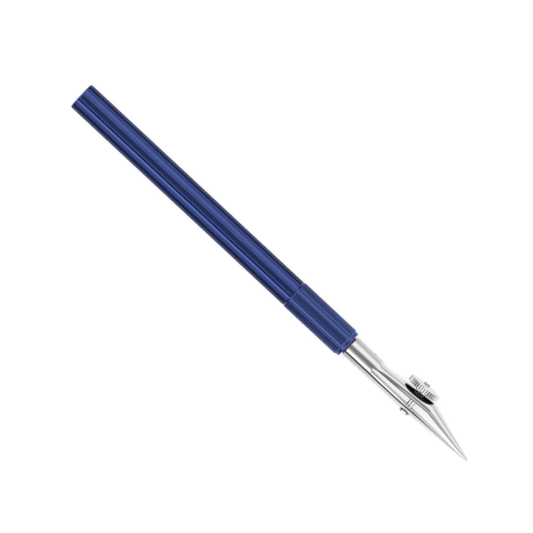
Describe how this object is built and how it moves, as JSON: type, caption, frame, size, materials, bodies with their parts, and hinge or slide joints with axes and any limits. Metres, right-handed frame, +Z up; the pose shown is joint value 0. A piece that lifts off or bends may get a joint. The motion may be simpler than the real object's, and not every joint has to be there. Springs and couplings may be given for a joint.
{
  "type": "ruling pen",
  "caption": "Adjustable ruling pen: sprung steel blades set by a knurled thumb nut, clamped by a ribbed collar in a fluted aluminium handle.",
  "frame": {"origin": "on the table, under the middle of the bounding box of the pen lying at rest", "axes": "+X along the pen from the handle's rear end to the nib's tip; +Y across the pen, to the side that the thumb nut is on; +Z up from the table"},
  "size_m": [0.14, 0.0111, 0.0096],
  "materials": {
    "handle_blue": "polished blue anodised",
    "collar_blue": "matt blue anodised, fine straight ribs",
    "brass": "turned",
    "black_rubber": "satin black",
    "blade_chrome": "polished",
    "screw_steel": "polished",
    "nut_nickel": "bright nickel, knurled"
  },
  "bodies": {
    "handle": {"handle_barrel": "handle_blue", "clamping_collet": "brass"},
    "nib": {"lower_blade": "blade_chrome", "upper_blade_root": "blade_chrome", "shank_rivet": "screw_steel"},
    "collar": {"grip_collar": "collar_blue", "neck_bush": "black_rubber"},
    "spring_blade": {"upper_blade": "blade_chrome"},
    "screw": {"adjusting_screw": "screw_steel"},
    "nut": {"thumb_nut": "nut_nickel"}
  },
  "joints": [
    {"name": "nib_draw", "type": "slide", "parent": "handle", "child": "nib", "axis": [1, 0, 0], "range_m": [0, 0.0015]},
    {"name": "collar_turn", "type": "hinge", "parent": "nib", "child": "collar", "pos_m": [0.0164, -0.00133, 0.00415], "axis": [1, 0, 0], "range_deg": [0, 720.1]},
    {"name": "blade_flex", "type": "hinge", "parent": "nib", "child": "spring_blade", "pos_m": [0.03785, 0.00048, 0.00437], "axis": [0, -0.1193, 0.9929], "range_deg": [-0.32, 4.28]},
    {"name": "nut_turn", "type": "hinge", "parent": "spring_blade", "child": "nut", "pos_m": [0.04856, 0.00364, 0.00475], "axis": [-0.0384, 0.9921, 0.1192], "range_deg": [-50, 720]},
    {"name": "screw_rock", "type": "hinge", "parent": "nib", "child": "screw", "pos_m": [0.04886, -0.00406, 0.00382], "axis": [0, -0.1193, 0.9929], "range_deg": [-0.13, 1.64]}
  ],
  "couplings": [
    {"joint": "collar_turn", "follows": "nib_draw", "rad_per_m": 8377.6},
    {"joint": "blade_flex", "follows": "nut_turn", "ratio": 0.0059208},
    {"joint": "screw_rock", "follows": "nut_turn", "ratio": 0.0022564}
  ]
}
